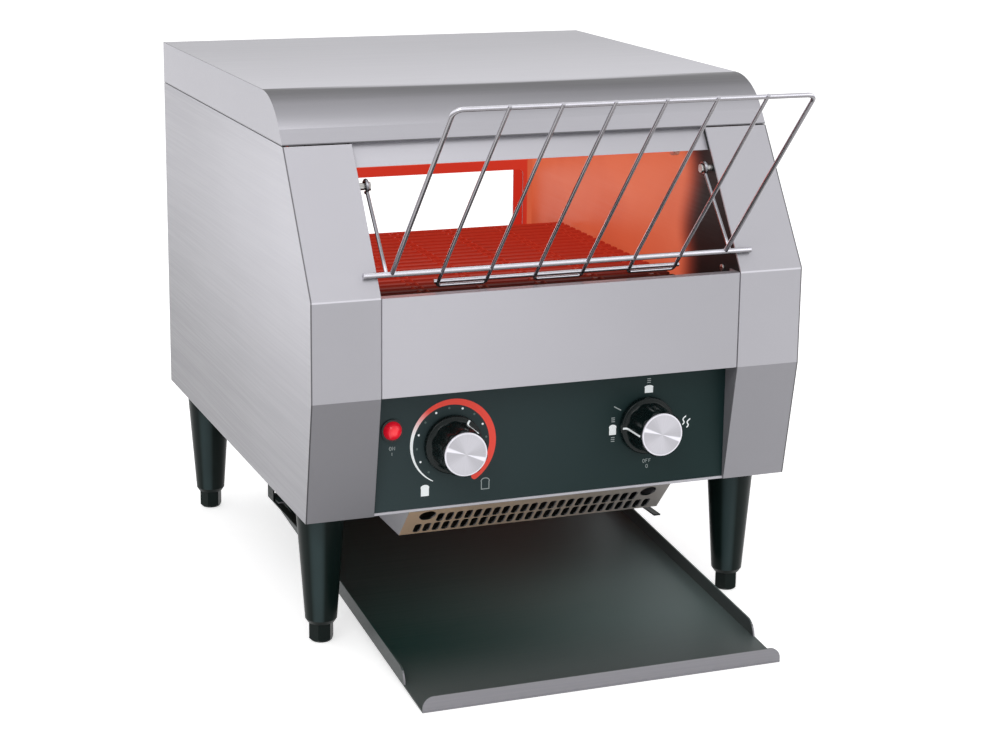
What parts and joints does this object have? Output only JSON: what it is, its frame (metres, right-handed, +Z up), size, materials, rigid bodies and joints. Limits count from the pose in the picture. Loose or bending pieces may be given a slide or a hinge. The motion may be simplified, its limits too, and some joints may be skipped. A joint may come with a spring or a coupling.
{
  "type": "conveyor toaster",
  "caption": "Countertop conveyor toaster: a wire belt carries bread between heaters, and toast slides down a chute to a tray under the casing.",
  "frame": {"origin": "middle of the footprint of the whole object, rack and tray included, at counter height", "axes": "+X to the object's right seen from the front, +Y to the rear, +Z up; the controls face -Y"},
  "size_m": [0.368, 0.548, 0.404],
  "materials": {
    "stainless": "satin, fine horizontal brushing",
    "inner_steel": "satin sheet",
    "glowing_steel": "aluminised steel tinted by the heaters",
    "heater": "glowing sheath",
    "ceramic": "matt ceramic",
    "fibre": "soft ceramic fibre",
    "belt_wire": "heat-tinted stainless wire",
    "machine_steel": "turned steel",
    "bronze": "sintered bronze",
    "cast_housing": "grey cast housing",
    "black_plastic": "glossy moulded",
    "matt_plastic": "moulded",
    "panel_black": "satin printed overlay",
    "cap_aluminium": "turned, radial brushing",
    "lens_red": "clear red dome",
    "board_green": "printed board",
    "terminal_white": "moulded",
    "tray_steel": "dark satin sheet",
    "tray_rail_black": "black powder coat",
    "chrome_wire": "bright plated wire",
    "leg_black": "glossy moulded"
  },
  "bodies": {
    "casing": {"base_frame": "stainless", "left_side_panel": "stainless", "right_side_panel": "stainless", "left_inner_plate": "inner_steel", "right_inner_plate": "inner_steel", "top_cover": "stainless", "rear_panel": "stainless", "front_cover": "stainless", "header_strip": "stainless", "control_panel": "panel_black", "control_bulkhead": "inner_steel", "intake_grille": "stainless", "upper_reflector": "glowing_steel", "insulation_blanket": "fibre", "rear_wall": "glowing_steel", "window_duct": "inner_steel", "toast_chute": "tray_steel", "upper_heaters": "heater", "lower_heaters": "heater", "heater_insulators": "ceramic", "lower_reflector": "inner_steel", "belt_rails": "inner_steel", "conveyor_belt": "belt_wire", "shaft_bushes": "bronze", "drive_chain": "machine_steel", "gearbox": "cast_housing", "drive_motor": "cast_housing", "fan_housing": "matt_plastic", "speed_potentiometer": "matt_plastic", "selector_switch": "matt_plastic", "lamp_holder": "matt_plastic", "lamp_lens": "lens_red", "control_board": "board_green", "terminal_block": "terminal_white", "cable_gland": "matt_plastic", "case_screws": "machine_steel", "tray_rails": "tray_rail_black", "rack_pins": "machine_steel", "legs": "leg_black"},
    "drive_roller": {"drive_shaft": "machine_steel", "drive_drums": "machine_steel", "driven_sprocket": "machine_steel"},
    "idler_roller": {"idler_shaft": "machine_steel", "idler_drums": "machine_steel"},
    "motor_output": {"motor_shaft": "machine_steel", "motor_sprocket": "machine_steel"},
    "fan_rotor": {"fan_impeller": "matt_plastic"},
    "speed_dial": {"speed_shaft": "machine_steel", "speed_knob": "black_plastic", "speed_knob_cap": "cap_aluminium"},
    "selector_dial": {"selector_shaft": "machine_steel", "selector_knob": "black_plastic", "selector_knob_cap": "cap_aluminium"},
    "tray": {"toast_tray": "tray_steel"},
    "rack": {"loading_rack": "chrome_wire"},
    "foot_front_left": {"front_left_foot": "leg_black"},
    "foot_front_right": {"front_right_foot": "leg_black"},
    "foot_rear_left": {"rear_left_foot": "leg_black"},
    "foot_rear_right": {"rear_right_foot": "leg_black"}
  },
  "joints": [
    {"name": "belt_drive", "type": "hinge", "parent": "casing", "child": "drive_roller", "pos_m": [0, -0.12396, 0.2196], "axis": [-1, 0, 0], "continuous": true},
    {"name": "belt_idler", "type": "hinge", "parent": "casing", "child": "idler_roller", "pos_m": [0, 0.15404, 0.2196], "axis": [-1, 0, 0], "continuous": true},
    {"name": "motor_turn", "type": "hinge", "parent": "casing", "child": "motor_output", "pos_m": [0.14, -0.08196, 0.15], "axis": [-1, 0, 0], "continuous": true},
    {"name": "fan_turn", "type": "hinge", "parent": "casing", "child": "fan_rotor", "pos_m": [-0.122, -0.06996, 0.1445], "axis": [1, 0, 0], "continuous": true},
    {"name": "speed_turn", "type": "hinge", "parent": "casing", "child": "speed_dial", "pos_m": [-0.077, -0.13996, 0.1485], "axis": [0, 1, 0], "range_deg": [-150, 120]},
    {"name": "selector_turn", "type": "hinge", "parent": "casing", "child": "selector_dial", "pos_m": [0.0715, -0.13996, 0.1485], "axis": [0, 1, 0], "range_deg": [-90, 180]},
    {"name": "tray_slide", "type": "slide", "parent": "casing", "child": "tray", "axis": [0, -1, 0], "range_m": [0, 0.115]},
    {"name": "rack_tilt", "type": "hinge", "parent": "casing", "child": "rack", "pos_m": [0, -0.10596, 0.327], "axis": [-1, 0, 0], "range_deg": [0, 55]},
    {"name": "front_left_foot_screw", "type": "slide", "parent": "casing", "child": "foot_front_left", "axis": [0, 0, -1], "range_m": [0, 0.012]},
    {"name": "front_right_foot_screw", "type": "slide", "parent": "casing", "child": "foot_front_right", "axis": [0, 0, -1], "range_m": [0, 0.012]},
    {"name": "rear_left_foot_screw", "type": "slide", "parent": "casing", "child": "foot_rear_left", "axis": [0, 0, -1], "range_m": [0, 0.012]},
    {"name": "rear_right_foot_screw", "type": "slide", "parent": "casing", "child": "foot_rear_right", "axis": [0, 0, -1], "range_m": [0, 0.012]}
  ],
  "couplings": [
    {"joint": "belt_idler", "follows": "belt_drive", "ratio": 1},
    {"joint": "motor_turn", "follows": "belt_drive", "ratio": 1.6667}
  ]
}
